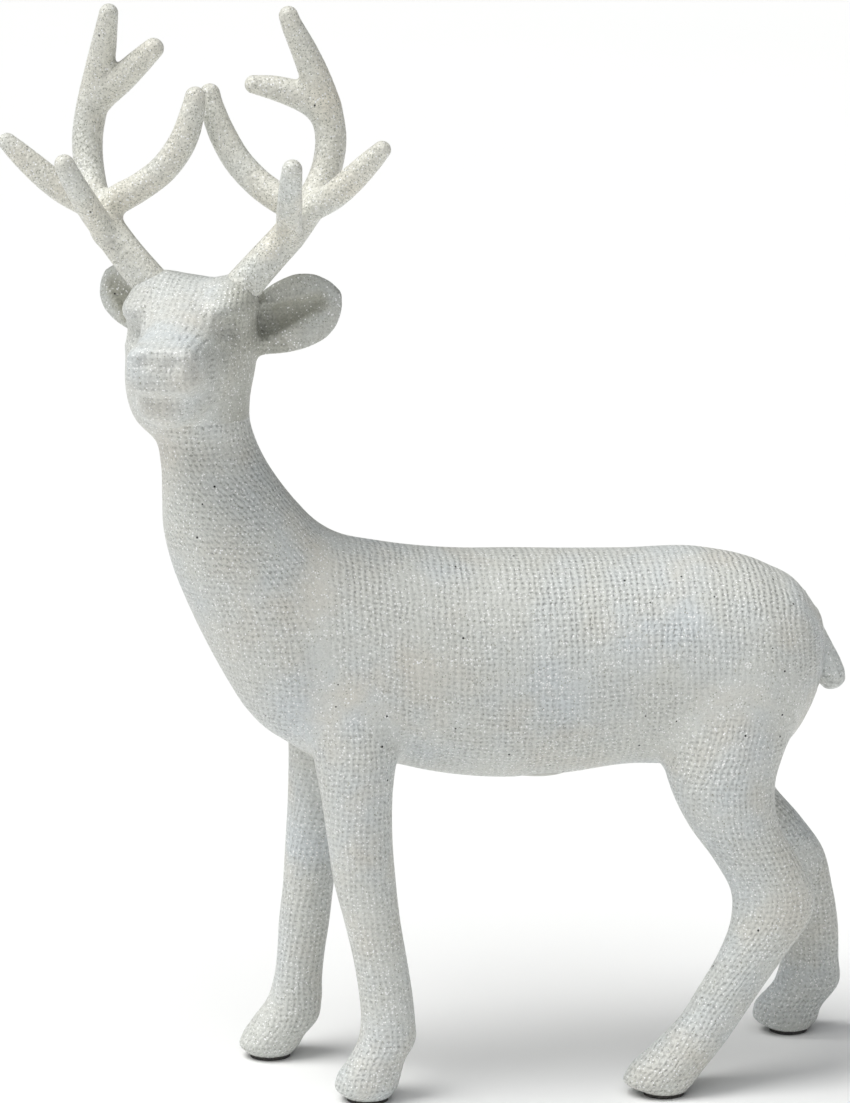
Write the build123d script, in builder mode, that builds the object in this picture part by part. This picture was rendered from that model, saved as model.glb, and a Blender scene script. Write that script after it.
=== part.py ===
from build123d import *
from math import cos, radians, sin
import os

# A standing reindeer figure of glittered cast resin, about 340 mm tall.
# Millimetres. It faces -Y, its left side is +X, and its foot pads rest on Z = 0.
# The head is turned to the left. Each antler plugs into the head on a steel pin and pulls off.

# ------------------------------------------------------------------ driving sizes
MID_X = -5.3            # mid-plane of the trunk; the turned head reaches out to +X
MID_Y = -6.2            # girth line of the trunk, level with the belly's front third
PAD_T = 1.5             # foot pad thickness
LEG_JOINT_Z = 96.0      # flat glue joint between the trunk casting and the legs
NECK_JOINT_Z = 214.0    # flat glue joint between the neck and the head
WALL = 4.5              # wall of the hollow trunk
GLUE = 0.15             # glue line round a part that is set into a pocket
POCKET_RUN = 16.0       # length of the cutter for a pocket that opens at the skin
ROD_R = 2.0             # steel rods in the legs
NECK_ROD_R = 3.0        # steel rod from the neck into the head
ROD_FIT = 0.05          # radial room round each glued rod

HEAD_YAW = 71.0         # how far the head turns from -Y towards the figure's left
HEAD_AT = Vector(1.3 + MID_X, -68.9 + MID_Y, 235.0)

SEAT_TILT = 35.0        # lean of each antler pin out from the vertical
SEAT_OUT, SEAT_FORE, SEAT_UP = 12.5, 3.0, 17.2   # antler seat in the head's frame
SEAT_GAP = 0.3          # air between an antler's foot and its seat
PIN_R, PIN_LEN = 2.0, 14.0
PIN_CLEARANCE = 0.05    # running fit of the pin in its sleeve
SLEEVE_R, SLEEVE_LEN = 3.2, 15.5
SPOT_R = 5.8            # flat spot cut in the skull for an antler's foot
SPOT_CLEAR = 8.0        # height of the cutter over each flat spot
FOOT_R, FOOT_TOP_R, FOOT_RUN = 5.4, 5.3, 4.0
PIN_SET = 7.0           # how far the pin is glued up into the antler

PLUG_R, PLUG_T = 11.0, 3.0          # belly plug's hole and the height of its ledge
PLUG_THICK, PLUG_EDGE = 3.0, 0.6
PLUG_LEDGE = 3.0        # width of the ledge that the plug sits against
POUR_RUN = 12.0         # length of the pour hole's cutter up into the hollow
BELLY_CLEAR = 5.0       # start of the plug hole's cutter below the belly
PAD_INSET = 0.8         # foot pads stop short of the hoof's edge
SIDES = {"left": 1, "right": -1}
BROW_R = 4.2
BROW_FORE, BROW_OUT, BROW_UP = 13.0, 12.6, 9.4
HEAD = Plane(
    origin=HEAD_AT,
    x_dir=Vector(sin(radians(HEAD_YAW)), -cos(radians(HEAD_YAW)), 0),
    z_dir=(0, 0, 1),
)   # x towards the muzzle, y to the figure's left, z up


# ------------------------------------------------------------------ section helpers
def at(x, y, z):
    """A point given from the trunk's mid-plane and girth line."""
    return Vector(x + MID_X, y + MID_Y, z)


def on_head(fore, left, up):
    """A point given in the head's frame."""
    return HEAD.from_local_coords(Vector(fore, left, up))


def oval(plane, half_x, half_y):
    """A closed oval drawn through eight points, so that every loft section starts at the same place."""
    turns = [radians(45 * i) for i in range(8)]
    with BuildSketch(plane) as section:
        with BuildLine():
            Spline(*[(half_x * cos(t), half_y * sin(t)) for t in turns], periodic=True)
        make_face()
    return section.sketch


def trunk_sections(inset=0.0):
    """Ovals along the spine; each spans a back point and a belly point."""
    sections = []
    for back_y, back_z, belly_y, belly_z, half_width in SPINE:
        back, belly = at(0, back_y, back_z), at(0, belly_y, belly_z)
        up = back - belly
        plane = Plane(origin=(back + belly) * 0.5, x_dir=(1, 0, 0), z_dir=Vector(1, 0, 0).cross(up))
        sections.append(oval(plane, half_width - inset, up.length / 2 - inset))
    return sections


def level_sections(stations):
    """Level ovals up a leg or the neck."""
    return [
        oval(Plane(at(x, (front + rear) / 2, z)), half_width, (rear - front) / 2)
        for z, x, front, rear, half_width in stations
    ]


def limb_sections(points, radii, side_dir):
    """Round sections square to a path, turned so that their seams stay in line."""
    sections = []
    for i, (point, radius) in enumerate(zip(points, radii)):
        run = points[min(i + 1, len(points) - 1)] - points[max(i - 1, 0)]
        sections.append(oval(Plane(point, x_dir=side_dir.cross(run), z_dir=run), radius, radius))
    return sections


# ------------------------------------------------------------------ shape stations
# back y, back z, belly y, belly z, half width: rump, loin, girth, shoulder
SPINE = [
    (126.0, 141.0, 126.0, 133.0, 5.0),
    (124.0, 150.0, 124.0, 123.0, 13.0),
    (119.0, 157.0, 119.0, 111.5, 21.0),
    (108.0, 163.8, 109.0, 101.5, 27.5),
    (88.0, 169.2, 89.0, 98.5, 30.0),
    (55.0, 169.0, 55.0, 99.3, 29.5),
    (20.0, 170.0, 18.0, 99.0, 29.0),
    (-8.0, 172.0, -16.0, 104.0, 28.5),
    (-24.0, 176.5, -38.0, 108.5, 27.6),
    (-33.0, 178.0, -55.0, 122.0, 25.2),
]
CAVITY_FROM = 2                     # spine station where the barrel's hollow begins

# height, middle x, front y, rear y, half width: level sections up the chest and neck
NECK = [
    (111.5, 0.0, -44.0, -20.0, 9.0),
    (115.0, 0.0, -52.4, -18.0, 15.5),
    (121.0, 0.0, -57.6, -17.0, 20.5),
    (131.0, 0.0, -63.4, -17.0, 24.5),
    (143.0, 0.0, -69.6, -18.0, 26.6),
    (156.0, 0.0, -75.3, -20.0, 26.2),
    (169.0, 0.0, -79.3, -25.0, 23.8),
    (180.0, 0.0, -80.9, -33.0, 20.6),
    (190.0, 0.0, -81.1, -42.6, 17.4),
    (200.0, 0.0, -81.4, -49.2, 15.0),
    (207.0, 0.0, -83.0, -52.4, 14.1),
    (214.0, 0.0, -86.0, -54.5, 14.2),
]

# height, middle x, front y, rear y, half width: from the sole up into the trunk
FORELEG_LEFT = [
    (1.5, 22.0, -28.0, -13.5, 6.6),
    (3.5, 22.0, -30.6, -11.8, 8.2),
    (7.0, 22.0, -30.6, -10.6, 8.9),
    (13.0, 22.0, -26.8, -9.0, 8.7),
    (19.0, 22.0, -23.8, -5.8, 8.1),
    (26.0, 21.9, -22.8, -5.9, 7.6),
    (35.0, 21.8, -23.4, -6.8, 7.5),
    (45.0, 21.6, -24.9, -8.3, 7.7),
    (58.0, 21.4, -27.8, -10.4, 8.3),
    (71.0, 21.2, -31.0, -11.8, 9.0),
    (84.0, 20.8, -32.8, -12.7, 9.9),
    (98.0, 20.2, -34.7, -12.6, 10.6),
    (112.0, 19.0, -37.0, -11.0, 10.6),
    (128.0, 16.0, -38.0, -11.0, 10.4),
    (142.0, 12.0, -36.0, -13.0, 9.0),
]
FORELEG_RIGHT = [
    (1.5, -22.0, -55.0, -40.5, 6.6),
    (3.5, -22.0, -57.4, -38.6, 8.2),
    (7.0, -22.0, -56.8, -36.6, 8.9),
    (12.0, -22.0, -53.6, -32.4, 8.7),
    (18.5, -22.0, -48.8, -31.0, 8.1),
    (26.0, -21.9, -46.4, -30.8, 7.5),
    (35.0, -21.8, -45.2, -29.9, 7.5),
    (45.0, -21.6, -44.6, -28.4, 7.7),
    (58.0, -21.4, -43.2, -26.9, 8.3),
    (71.0, -21.2, -42.4, -25.2, 9.0),
    (84.0, -20.8, -41.6, -22.6, 9.8),
    (98.0, -20.2, -41.2, -19.4, 10.4),
    (112.0, -19.0, -41.2, -16.0, 10.6),
    (128.0, -16.0, -40.0, -13.0, 10.4),
    (142.0, -12.0, -37.0, -15.0, 9.0),
]
HINDLEG_LEFT = [
    (1.5, 28.0, 65.0, 79.5, 6.6),
    (3.5, 28.0, 60.4, 81.4, 8.2),
    (8.0, 28.0, 60.8, 84.6, 8.9),
    (15.0, 27.8, 68.0, 90.2, 8.7),
    (23.0, 27.4, 76.2, 96.0, 7.7),
    (33.0, 26.8, 82.8, 102.8, 7.5),
    (45.0, 26.0, 89.8, 111.4, 8.0),
    (55.0, 25.2, 93.4, 118.4, 8.6),
    (64.0, 24.4, 93.4, 119.8, 9.3),
    (74.0, 23.4, 88.2, 115.0, 10.4),
    (85.0, 22.4, 80.4, 108.6, 12.2),
    (98.0, 21.0, 74.2, 107.2, 13.6),
    (112.0, 18.4, 71.6, 111.6, 14.2),
    (130.0, 14.6, 74.0, 115.0, 14.0),
    (146.0, 11.0, 80.0, 112.0, 11.0),
]
HINDLEG_RIGHT = [
    (1.5, -26.0, 117.0, 131.0, 6.6),
    (3.5, -26.0, 113.4, 133.0, 8.2),
    (8.0, -26.0, 112.4, 134.6, 8.9),
    (16.0, -26.0, 118.6, 140.4, 8.5),
    (25.0, -25.9, 121.4, 140.2, 7.8),
    (37.0, -25.6, 122.2, 139.6, 7.6),
    (50.0, -25.0, 120.4, 137.2, 8.1),
    (64.0, -24.2, 114.0, 133.0, 9.2),
    (74.0, -23.4, 105.0, 125.8, 10.4),
    (86.0, -22.2, 90.0, 116.0, 12.2),
    (98.0, -21.0, 81.0, 112.0, 13.4),
    (112.0, -18.4, 76.0, 113.5, 14.2),
    (130.0, -14.6, 75.0, 115.0, 14.0),
    (146.0, -11.0, 80.0, 112.0, 11.0),
]
LEGS = {
    "foreleg_left": FORELEG_LEFT,
    "foreleg_right": FORELEG_RIGHT,
    "hindleg_left": HINDLEG_LEFT,
    "hindleg_right": HINDLEG_RIGHT,
}
# lower and upper end of the steel rod across each leg joint
RODS = {
    "foreleg_left": (at(21, -21.5, 72), at(19.5, -24.5, 114)),
    "foreleg_right": (at(-21, -34.0, 72), at(-19.5, -30.5, 115)),
    "hindleg_left": (at(23.5, 101.5, 74), at(19.5, 89.0, 114)),
    "hindleg_right": (at(-23.0, 112.0, 80), at(-19.5, 92.0, 114)),
}

NECK_TOP = at(0, -70.25, NECK_JOINT_Z)
NECK_ROD = (at(0, -69.5, 190), at(0, -69.5, 236))

# fore, middle left, middle up, half width, half height: from the poll to the nose
SKULL = [
    (-19.0, 0.0, 4.0, 5.0, 6.0),
    (-17.4, 0.0, 4.0, 10.0, 11.0),
    (-13.0, 0.0, 3.4, 14.8, 15.6),
    (-6.0, 0.0, 2.2, 17.8, 19.4),
    (2.0, 0.0, 2.0, 18.4, 20.4),
    (10.0, 0.0, 2.0, 17.6, 18.6),
    (18.0, 0.0, 0.6, 15.2, 16.0),
    (26.0, 0.0, -1.0, 12.8, 13.4),
    (34.0, 0.0, -2.0, 11.4, 11.4),
    (40.0, 0.0, -1.6, 10.6, 9.2),
    (44.0, 0.0, -0.6, 7.4, 6.2),
    (45.6, 0.0, -0.2, 3.0, 2.4),
]
# up, half length along the neck's fore-aft, half width: the throat, from the neck joint into the skull
THROAT = [(-21.0, 15.75, 14.2), (-14.0, 16.6, 15.0), (-6.0, 17.0, 15.6), (3.0, 15.0, 14.0)]

EAR_STEM = 10.0         # straight root of an ear, set in the head's pocket
HOLLOW_FORE = 2.6       # how far forward of the ear's middle its hollow runs
# distance out from the root, half width and half thickness of an ear
EAR = [
    (7.0, 7.4, 3.8),
    (11.0, 9.4, 4.0),
    (16.0, 10.6, 3.8),
    (21.5, 9.6, 3.3),
    (26.0, 6.4, 2.5),
    (28.8, 2.4, 1.4),
]
EAR_HOLLOW = [(8.5, 2.4, 2.0), (13.0, 5.0, 3.2), (19.5, 4.4, 2.6), (23.5, 1.8, 1.2)]

# left, up and fore of the antler's beam above its foot, and the radius there; the beam sweeps
# back and comes forward again at its tip
BEAM = [
    (21.6, 28.2, 2.6, 5.3),
    (28.6, 36.3, 0.0, 5.1),
    (33.6, 44.2, -3.6, 4.8),
    (37.0, 53.0, -9.2, 4.6),
    (38.2, 62.2, -12.0, 4.7),
    (36.9, 71.0, -12.6, 4.8),
    (34.4, 80.0, -11.2, 4.6),
    (31.5, 89.2, -7.8, 4.0),
    (28.7, 98.4, -3.2, 3.2),
    (27.4, 103.7, -1.2, 1.8),
]
FRONT_TINE = [(28.7, 35.6, 3.0, 3.9), (31.2, 44.3, 12.0, 3.8), (33.4, 52.2, 19.0, 3.4), (35.0, 59.4, 23.4, 1.9)]
OUTER_TINE = [
    (35.3, 43.5, 1.0, 3.7),
    (42.0, 47.6, 2.0, 3.9),
    (48.4, 53.0, 3.5, 3.8),
    (54.3, 58.6, 5.0, 3.2),
    (59.8, 64.0, 6.0, 1.6),
]
# the inner tines cross beside each other: the left one stands behind the right one
INNER_LEFT = [
    (31.0, 43.0, -2.0, 4.4),
    (24.4, 45.9, -3.5, 4.4),
    (17.2, 50.2, -5.5, 4.4),
    (10.3, 56.9, -6.8, 4.3),
    (5.4, 65.0, -7.5, 4.1),
    (2.7, 72.8, -7.5, 3.6),
    (1.7, 79.8, -7.5, 1.8),
]
INNER_RIGHT = [
    (30.0, 41.8, -2.0, 4.4),
    (24.8, 45.2, -1.0, 4.4),
    (17.6, 49.2, 0.0, 4.3),
    (10.1, 55.0, 0.8, 4.3),
    (4.3, 63.0, 1.2, 4.2),
    (1.2, 71.8, 1.5, 3.7),
    (0.2, 79.6, 1.5, 1.8),
]
FORK_LEFT = [
    (35.5, 72.5, -12.0, 4.2),
    (29.0, 76.1, -11.0, 4.2),
    (21.8, 78.5, -9.0, 3.6),
    (13.6, 79.9, -6.2, 1.8),
]
FORK_RIGHT = [
    (33.0, 75.2, -12.0, 4.2),
    (27.6, 79.4, -10.0, 4.2),
    (21.6, 84.3, -7.0, 3.9),
    (12.4, 91.8, -2.6, 1.9),
]
INNER_TINES = {"left": INNER_LEFT, "right": INNER_RIGHT}
FORKS = {"left": FORK_LEFT, "right": FORK_RIGHT}


# ------------------------------------------------------------------ frames of the set-in parts
def seat_plane(side):
    """Where an antler stands: z is the way its pin pulls out; side is 1 for left, -1 for right."""
    lean = radians(SEAT_TILT)
    out = on_head(0, side * sin(lean), cos(lean)) - on_head(0, 0, 0)
    return Plane(on_head(SEAT_FORE, side * SEAT_OUT, SEAT_UP), x_dir=HEAD.x_dir, z_dir=out)


def ear_plane(side):
    """An ear's root: z runs out to its tip, and x is the thickness, facing forward."""
    root, tip = on_head(-5.0, side * 14.6, 5.0), on_head(-12.0, side * 38.0, 18.5)
    run = (tip - root).normalized()
    face = HEAD.x_dir - run * HEAD.x_dir.dot(run)
    return Plane(root, x_dir=face, z_dir=run)


TAIL_ROOT, TAIL_TIP = at(0, 119.0, 153.5), at(0, 135.0, 127.0)
TAIL = Plane(TAIL_ROOT, x_dir=(1, 0, 0), z_dir=TAIL_TIP - TAIL_ROOT)
TAIL_STEM = 12.0        # straight root of the tail, set in the rump's pocket
TAIL_SHAPE = [(12.0, 7.0, 4.4), (17.0, 7.0, 4.4), (22.0, 6.2, 4.1), (27.0, 4.0, 3.0), (30.4, 1.6, 1.3)]


def stem_sections(plane, stations):
    """Ovals along an ear; a station is distance out, half width and half thickness."""
    return [oval(plane.offset(out), thick, wide) for out, wide, thick in stations]


def skull_plane(row):
    """The upright plane of one skull section: x to the left, y up."""
    fore, left, up = row[:3]
    return Plane(on_head(fore, left, up), x_dir=HEAD.y_dir, z_dir=HEAD.x_dir)


def rod_between(low, high, radius):
    """A round rod, or the drilling for it."""
    run = high - low
    with BuildPart() as rod:
        with BuildSketch(Plane(low, z_dir=run)):
            Circle(radius)
        extrude(amount=run.length)
    return rod.part


os.makedirs("parts", exist_ok=True)

# ------------------------------------------------------------------ trunk casting
BELLY_AT = Plane(at(0, 35.0, 99.5))
with BuildPart() as body_shell:
    for stations in LEGS.values():
        loft(level_sections(stations))
    split(bisect_by=Plane.XY.offset(LEG_JOINT_Z), keep=Keep.TOP)
    loft(trunk_sections())
    loft(level_sections(NECK))
    loft(trunk_sections(WALL)[CAVITY_FROM:], mode=Mode.SUBTRACT)
    # pour hole in the belly, with a ledge for its plug
    with BuildSketch(BELLY_AT.offset(-BELLY_CLEAR)):
        Circle(PLUG_R)
    extrude(amount=BELLY_CLEAR + PLUG_T, mode=Mode.SUBTRACT)
    with BuildSketch(BELLY_AT):
        Circle(PLUG_R - PLUG_LEDGE)
    extrude(amount=POUR_RUN, mode=Mode.SUBTRACT)
    for low, high in RODS.values():
        add(rod_between(low, high, ROD_R + ROD_FIT), mode=Mode.SUBTRACT)
    add(rod_between(*NECK_ROD, NECK_ROD_R + ROD_FIT), mode=Mode.SUBTRACT)
    # pocket for the tail's root
    pocket = oval(TAIL, TAIL_SHAPE[0][1] + GLUE, TAIL_SHAPE[0][2] + GLUE)
    extrude(pocket, amount=2 * TAIL_STEM, mode=Mode.SUBTRACT)
body_shell.part.label = "body_shell"
export_step(body_shell.part, "parts/body_shell.step")

with BuildPart() as belly_plug:
    with BuildSketch(BELLY_AT.offset(PLUG_T - PLUG_THICK)):
        Circle(PLUG_R - GLUE)
    extrude(amount=PLUG_THICK)
    fillet(belly_plug.edges().group_by(Axis.Z)[0], PLUG_EDGE)
belly_plug.part.label = "belly_plug"
export_step(belly_plug.part, "parts/belly_plug.step")

# ------------------------------------------------------------------ legs, their rods and foot pads
for name, stations in LEGS.items():
    low, high = RODS[name]
    with BuildPart() as leg:
        loft(level_sections(stations))
        split(bisect_by=Plane.XY.offset(LEG_JOINT_Z), keep=Keep.BOTTOM)
        add(rod_between(low, high, ROD_R + ROD_FIT), mode=Mode.SUBTRACT)
    leg.part.label = name
    export_step(leg.part, f"parts/{name}.step")

    rod = rod_between(low, high, ROD_R)
    rod.label = f"{name}_rod"
    export_step(rod, f"parts/{name}_rod.step")

    _, middle_x, front, rear, half_width = stations[0]
    with BuildPart() as pad:
        with BuildSketch(Plane(at(middle_x, (front + rear) / 2, 0))):
            Ellipse(half_width - PAD_INSET, (rear - front) / 2 - PAD_INSET)
        extrude(amount=PAD_T)
    pad.part.label = f"{name}_pad"
    export_step(pad.part, f"parts/{name}_pad.step")

# ------------------------------------------------------------------ head
with BuildPart() as head:
    loft([oval(skull_plane(row), row[3], row[4]) for row in SKULL])
    loft([oval(Plane(NECK_TOP + Vector(0, 0, up - THROAT[0][0])), half_width, half_length)
          for up, half_length, half_width in THROAT])
    for side in SIDES.values():
        # brow over the eye
        with Locations(on_head(BROW_FORE, side * BROW_OUT, BROW_UP)):
            Sphere(BROW_R)
        # spot face, sleeve bore, and ear pocket
        seat, ear = seat_plane(side), ear_plane(side)
        with BuildSketch(seat):
            Circle(SPOT_R)
        extrude(amount=SPOT_CLEAR, mode=Mode.SUBTRACT)
        with BuildSketch(seat):
            Circle(SLEEVE_R + ROD_FIT)
        extrude(amount=-SLEEVE_LEN, mode=Mode.SUBTRACT)
        leaf_start, root_wide, root_thick = EAR[0]
        pocket = oval(ear.offset(leaf_start - EAR_STEM), root_thick + GLUE, root_wide + GLUE)
        extrude(pocket, amount=POCKET_RUN, mode=Mode.SUBTRACT)
    add(rod_between(*NECK_ROD, NECK_ROD_R + ROD_FIT), mode=Mode.SUBTRACT)
head.part.label = "head"
export_step(head.part, "parts/head.step")

neck_rod = rod_between(*NECK_ROD, NECK_ROD_R)
neck_rod.label = "neck_rod"
export_step(neck_rod, "parts/neck_rod.step")

# ------------------------------------------------------------------ ears and tail
for name, side in SIDES.items():
    plane = ear_plane(side)
    leaf_start, root_wide, root_thick = EAR[0]
    with BuildPart() as ear:
        extrude(oval(plane.offset(leaf_start - EAR_STEM), root_thick, root_wide), amount=EAR_STEM)
        loft(stem_sections(plane, EAR))
        loft(stem_sections(plane.move(Location(plane.x_dir * HOLLOW_FORE)), EAR_HOLLOW), mode=Mode.SUBTRACT)
    ear.part.label = f"ear_{name}"
    export_step(ear.part, f"parts/ear_{name}.step")

with BuildPart() as tail:
    extrude(oval(TAIL, TAIL_SHAPE[0][1], TAIL_SHAPE[0][2]), amount=TAIL_STEM)
    loft([oval(TAIL.offset(out), wide, thick) for out, wide, thick in TAIL_SHAPE])
tail.part.label = "tail"
export_step(tail.part, "parts/tail.step")

# ------------------------------------------------------------------ antlers, their pins and sleeves
for name, side in SIDES.items():
    seat = seat_plane(side)
    foot = seat.origin + seat.z_dir * SEAT_GAP
    with BuildPart() as antler:
        beam = [foot, foot + seat.z_dir * FOOT_RUN] + [on_head(fore, side * left, up) for left, up, fore, _ in BEAM]
        loft(limb_sections(beam, [FOOT_R, FOOT_TOP_R] + [row[3] for row in BEAM], HEAD.x_dir))
        for branch in (FRONT_TINE, OUTER_TINE, INNER_TINES[name], FORKS[name]):
            points = [on_head(fore, side * left, up) for left, up, fore, _ in branch]
            loft(limb_sections(points, [row[3] for row in branch], HEAD.x_dir))
        with BuildSketch(Plane(foot, z_dir=seat.z_dir)):
            Circle(PIN_R)
        extrude(amount=PIN_SET, mode=Mode.SUBTRACT)
    antler.part.label = f"antler_{name}"
    export_step(antler.part, f"parts/antler_{name}.step")

    pin = rod_between(seat.origin - seat.z_dir * PIN_LEN, foot + seat.z_dir * PIN_SET, PIN_R)
    pin.label = f"antler_{name}_pin"
    export_step(pin, f"parts/antler_{name}_pin.step")

    with BuildPart() as sleeve:
        with BuildSketch(seat):
            Circle(SLEEVE_R)
        extrude(amount=-SLEEVE_LEN)
        with BuildSketch(seat):
            Circle(PIN_R + PIN_CLEARANCE)
        extrude(amount=-(PIN_LEN + SEAT_GAP), mode=Mode.SUBTRACT)
    sleeve.part.label = f"socket_sleeve_{name}"
    export_step(sleeve.part, f"parts/socket_sleeve_{name}.step")
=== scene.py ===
from math import cos, pi, radians, sin

import bmesh
import bpy
import numpy as np
from mathutils import Matrix, Vector


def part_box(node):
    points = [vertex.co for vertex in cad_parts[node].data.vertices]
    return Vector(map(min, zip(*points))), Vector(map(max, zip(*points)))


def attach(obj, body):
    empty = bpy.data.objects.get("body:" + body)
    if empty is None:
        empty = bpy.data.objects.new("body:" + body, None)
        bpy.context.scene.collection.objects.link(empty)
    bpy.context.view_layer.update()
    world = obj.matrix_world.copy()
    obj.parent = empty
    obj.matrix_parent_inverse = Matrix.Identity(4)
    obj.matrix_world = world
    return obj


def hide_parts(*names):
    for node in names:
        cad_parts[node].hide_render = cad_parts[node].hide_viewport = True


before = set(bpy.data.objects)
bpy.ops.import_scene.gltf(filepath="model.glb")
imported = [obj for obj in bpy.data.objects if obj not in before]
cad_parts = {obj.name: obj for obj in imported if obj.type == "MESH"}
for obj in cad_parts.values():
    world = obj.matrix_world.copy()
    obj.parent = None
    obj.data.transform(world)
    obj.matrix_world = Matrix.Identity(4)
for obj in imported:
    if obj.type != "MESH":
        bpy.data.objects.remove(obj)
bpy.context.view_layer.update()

# A standing reindeer figure of glittered cast resin with a fine knitted surface.
# Shapes are worked out in millimetres from the trunk's mid-plane (x = 0, +x is the figure's left),
# its girth line (y = 0, -y is forward) and the floor (z = 0). Each skin is the zero level of a
# distance field, turned into quads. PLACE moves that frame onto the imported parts, in metres.
MM = 0.001
PLUG_Y = 35.0                       # the belly plug's place behind the girth line
LEG_JOINT_Z = 96.0
NECK_JOINT_Z = 214.0
SOLE_Z = 1.5                        # top of the foot pads
GLUE = 0.15                         # glue line round the belly plug
COARSE = 1.0
# mesh size of each skin
TRUNK_STEP, LEG_STEP, HEAD_STEP, ANTLER_STEP = (COARSE * step for step in (1.3, 0.9, 0.7, 0.65))
EAR_STEP, TAIL_STEP = 0.6, 0.7
TRUNK_FILLET, LEG_FILLET, NECK_FILLET, BOSS_FILLET, EAR_FILLET, BRANCH_FILLET = 7.0, 6.0, 6.0, 9.0, 2.6, 2.6
WALE, COURSE = 2.0, 1.75            # knit: width of a column of stitches and height of a row
HEAD_KNIT, EAR_KNIT = 0.7, 0.3      # depth of the knit there against the body's
KNIT_FADE = 5.0                     # the knit fades out this near to the next limb's
FLAT_KNIT = 0.15                    # what is left of it there
BARREL_TURN, CHART_JUMP = 32.0, 8   # arc per radian round the barrel; stitches that mean a wrap


def centre_of(node):
    low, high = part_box(node)
    return (low + high) / 2 / MM


PLACE = np.array([centre_of("belly_plug").x, centre_of("belly_plug").y - PLUG_Y, 0.0])

HEAD_YAW = radians(71)              # from -y towards the figure's left
HEAD_AT = np.array([1.3, -68.9, 235.0])
FORE = np.array([sin(HEAD_YAW), -cos(HEAD_YAW), 0.0])
LEFT = np.array([cos(HEAD_YAW), sin(HEAD_YAW), 0.0])
UP = np.array([0.0, 0.0, 1.0])

SEAT_LEAN = radians(35)             # antler pins lean out from the vertical
SEAT_FORE, SEAT_OUT, SEAT_UP = 3.0, 12.5, 17.2
SEAT_GAP = 0.3
SPOT_R, SPOT_CLEAR, BORE_R, BORE_DEPTH = 5.8, 9, 3.25, 15.6
BOSS_R, BOSS_TOP_R, BOSS_DEPTH = 8.2, 6.2, 10
FOOT_R, FOOT_TOP_R, FOOT_RUN = 6.0, 5.6, 4


# ------------------------------------------------------------------ shape stations
# y; top z, bottom z, half width: the barrel from the shoulder to the rump
BARREL = [
    (-45.0, 176.0, 125.0, 20.0), (-33.0, 177.0, 115.0, 25.5), (-20.0, 174.5, 107.0, 28.0),
    (-5.0, 172.0, 102.0, 28.8), (10.0, 170.6, 99.0, 29.0), (27.0, 170.2, 97.7, 29.2),
    (44.0, 169.6, 98.6, 29.5), (62.0, 169.2, 100.8, 29.5), (88.0, 168.8, 100.0, 29.5),
    (108.0, 163.2, 102.0, 27.0), (118.5, 156.6, 112.0, 20.5), (123.0, 150.4, 121.0, 14.0),
    (125.5, 146.0, 128.0, 8.0), (126.7, 140.0, 136.0, 2.0),
]
# z; middle x, front y, rear y, half width: the chest and neck, then each leg from its sole up
NECK = [
    (106.0, 0.0, -36.0, -14.0, 12.0), (111.5, 0.0, -43.8, -14.0, 17.0), (116.0, 0.0, -50.4, -14.0, 20.0),
    (122.0, 0.0, -56.0, -15.0, 22.5), (131.0, 0.0, -61.6, -16.0, 25.0), (143.0, 0.0, -67.9, -18.0, 26.4),
    (156.0, 0.0, -73.8, -20.0, 25.8), (169.0, 0.0, -78.6, -26.0, 23.4), (180.0, 0.0, -80.9, -34.0, 20.4),
    (190.0, 0.0, -81.1, -42.5, 17.4), (200.0, 0.0, -81.4, -49.2, 15.0), (207.0, 0.0, -83.0, -52.4, 14.2),
    (213.0, 0.0, -88.5, -54.0, 16.0), (219.0, 0.0, -91.0, -54.0, 17.0), (226.0, 0.0, -91.5, -54.0, 17.0),
    (234.0, 0.0, -89.0, -55.0, 15.0),
]
FORELEG_LEFT = [
    (1.5, 22.0, -28.0, -13.5, 6.6), (3.5, 22.0, -30.6, -11.8, 8.2), (7.0, 22.0, -30.6, -10.6, 8.9),
    (13.0, 22.0, -26.8, -9.0, 8.7), (19.0, 22.0, -23.8, -5.8, 8.1), (26.0, 21.9, -22.8, -5.9, 7.6),
    (35.0, 21.8, -23.4, -6.8, 7.5), (45.0, 21.6, -24.9, -8.3, 7.7), (58.0, 21.4, -27.8, -10.4, 8.3),
    (71.0, 21.2, -31.0, -11.8, 9.0), (84.0, 20.8, -32.8, -12.7, 9.9), (98.0, 20.2, -34.7, -12.6, 10.6),
    (112.0, 19.0, -37.0, -11.0, 10.6), (128.0, 16.0, -38.0, -11.0, 10.4), (142.0, 12.0, -36.0, -13.0, 9.0),
]
FORELEG_RIGHT = [
    (1.5, -22.0, -55.0, -40.5, 6.6), (3.5, -22.0, -57.4, -38.6, 8.2), (7.0, -22.0, -56.8, -36.6, 8.9),
    (12.0, -22.0, -53.6, -32.4, 8.7), (18.5, -22.0, -48.8, -31.0, 8.1), (26.0, -21.9, -46.4, -30.8, 7.5),
    (35.0, -21.8, -45.2, -29.9, 7.5), (45.0, -21.6, -44.6, -28.4, 7.7), (58.0, -21.4, -43.2, -26.9, 8.3),
    (71.0, -21.2, -42.4, -25.2, 9.0), (84.0, -20.8, -41.6, -22.6, 9.8), (98.0, -20.2, -41.2, -19.4, 10.4),
    (112.0, -19.0, -41.2, -16.0, 10.6), (128.0, -16.0, -40.0, -13.0, 10.4),
    (142.0, -12.0, -37.0, -15.0, 9.0),
]
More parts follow.
